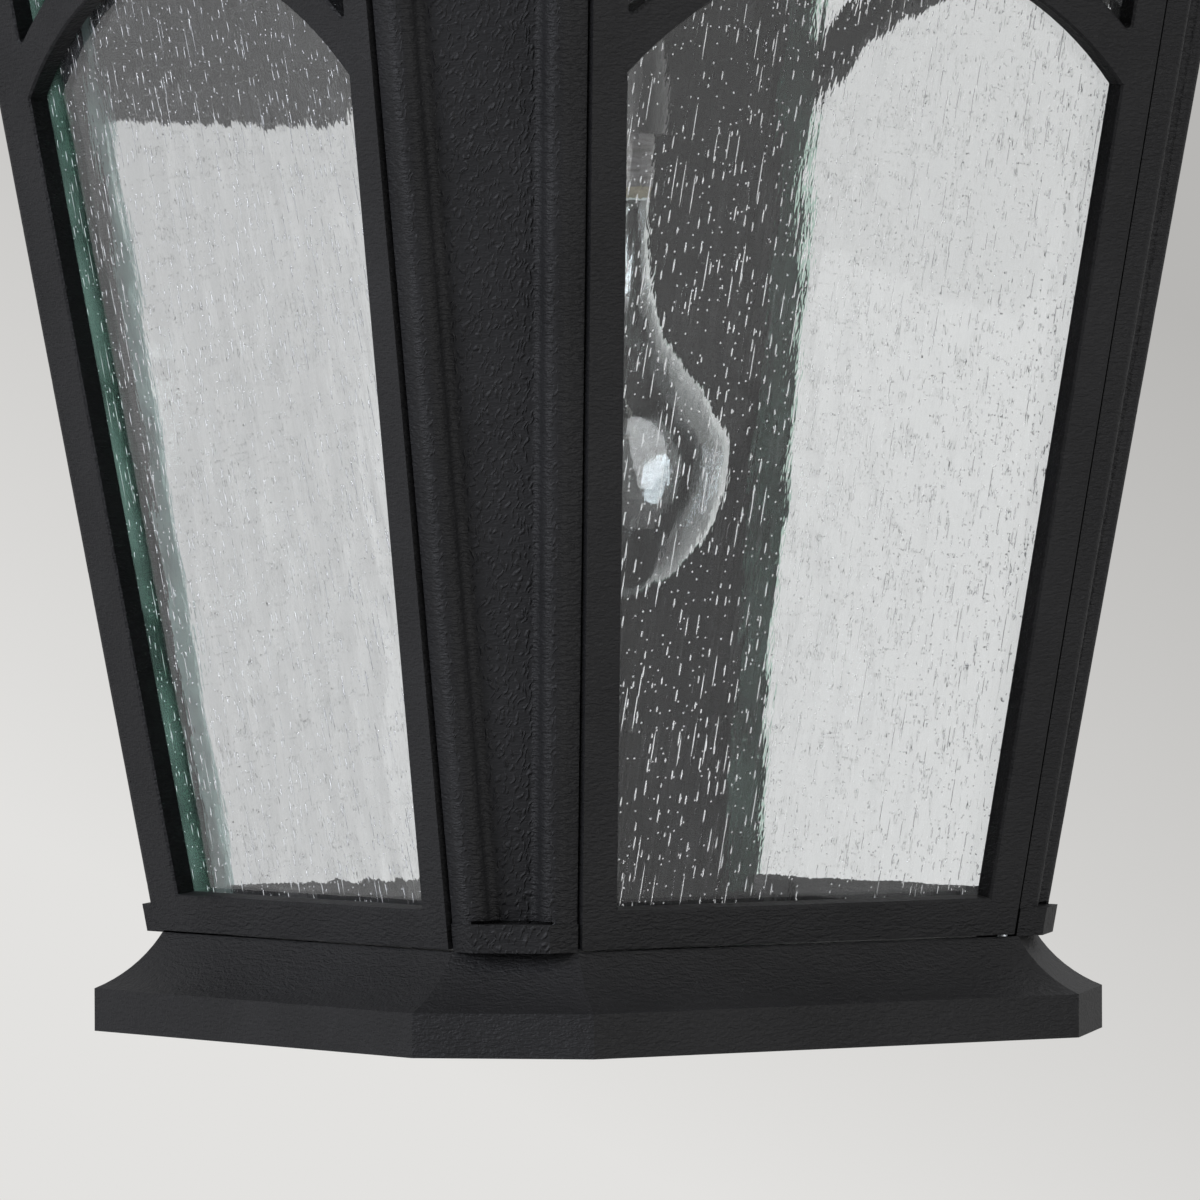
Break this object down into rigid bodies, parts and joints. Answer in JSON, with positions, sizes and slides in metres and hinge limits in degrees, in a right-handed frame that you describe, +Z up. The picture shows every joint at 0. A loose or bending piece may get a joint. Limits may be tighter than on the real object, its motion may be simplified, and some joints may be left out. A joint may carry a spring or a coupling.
{
  "type": "outdoor wall light",
  "caption": "Tapered outdoor wall lantern with a hinged glazed door, cut-off corner columns and a screw-in lamp, hung from a crook arm on a wall plate.",
  "frame": {"origin": "centre of the mounting strap's rear face, in the wall plane", "axes": "+X to the right as seen from the front, +Y into the wall, +Z up; the lantern's front looks along -Y"},
  "size_m": [0.278, 0.317, 0.5455],
  "materials": {
    "black_coat": "wrinkled black powder coat on cast aluminium",
    "seeded_glass": "clear seeded glass",
    "lamp_glass": "clear blown glass",
    "zinc_steel": "bright zinc plate",
    "black_steel": "black enamel",
    "green_steel": "green zinc plate",
    "brass": "bright",
    "lamp_metal": "bright rolled",
    "tungsten": "dull wire",
    "lamp_cement": "cream cement",
    "black_resin": "moulded",
    "zinc_cap": "zinc plate",
    "lamp_insulation": "black vitrified",
    "rubber_seal": "closed-cell",
    "white_nylon": "moulded"
  },
  "bodies": {
    "lantern": {"base": "black_coat", "head_frame": "black_coat", "roof": "black_coat", "roof_cap": "black_coat", "top_spindle": "black_coat", "stem": "zinc_steel", "arm": "black_coat", "cross_bar": "zinc_steel", "cross_bar_screws": "zinc_steel", "stem_nut": "zinc_steel", "front_left_column": "black_coat", "front_right_column": "black_coat", "back_right_column": "black_coat", "back_left_column": "black_coat", "right_frame": "black_coat", "right_pane": "seeded_glass", "back_frame": "black_coat", "back_pane": "seeded_glass", "left_frame": "black_coat", "left_pane": "seeded_glass", "pane_clips": "black_steel", "pane_clip_screws": "black_steel", "frame_screws": "black_steel", "foot_screws": "zinc_steel", "head_screws": "zinc_steel", "back_plate": "black_coat", "wall_gasket": "rubber_seal", "mounting_strap": "zinc_steel", "plate_studs": "zinc_steel", "cap_nuts": "black_steel", "arm_nipple": "zinc_steel", "arm_lock_nut": "zinc_steel", "arm_lock_washer": "zinc_steel", "terminal_block": "white_nylon", "terminal_screws": "zinc_steel", "earth_screw": "green_steel", "socket_body": "black_resin", "socket_shell": "brass", "socket_contact": "brass", "socket_cap": "zinc_cap"},
    "door": {"door_frame": "black_coat", "door_pane": "seeded_glass", "hinge_pins": "zinc_steel", "door_pane_clips": "black_steel", "door_clip_screws": "black_steel"},
    "latch": {"latch_knob": "black_coat", "latch_cam": "zinc_steel", "latch_nut": "zinc_steel"},
    "lamp": {"lamp_glass": "lamp_glass", "lamp_collar": "lamp_cement", "lamp_cap": "lamp_metal", "lamp_insulator": "lamp_insulation", "lamp_contact": "brass", "lamp_mount": "lamp_glass", "lamp_filament": "tungsten"}
  },
  "joints": [
    {"name": "door_hinge", "type": "hinge", "parent": "lantern", "child": "door", "pos_m": [0.06954, -0.2777, -0.22038], "axis": [0.0874, -0.155, 0.984], "range_deg": [0, 100]},
    {"name": "latch_turn", "type": "hinge", "parent": "door", "child": "latch", "pos_m": [0, -0.29819, -0.1057], "axis": [0, -0.9878, -0.1556], "range_deg": [0, 90]},
    {"name": "lamp_unscrew", "type": "slide", "parent": "lantern", "child": "lamp", "axis": [0, 0, -1], "range_m": [0, 0.018]}
  ]
}
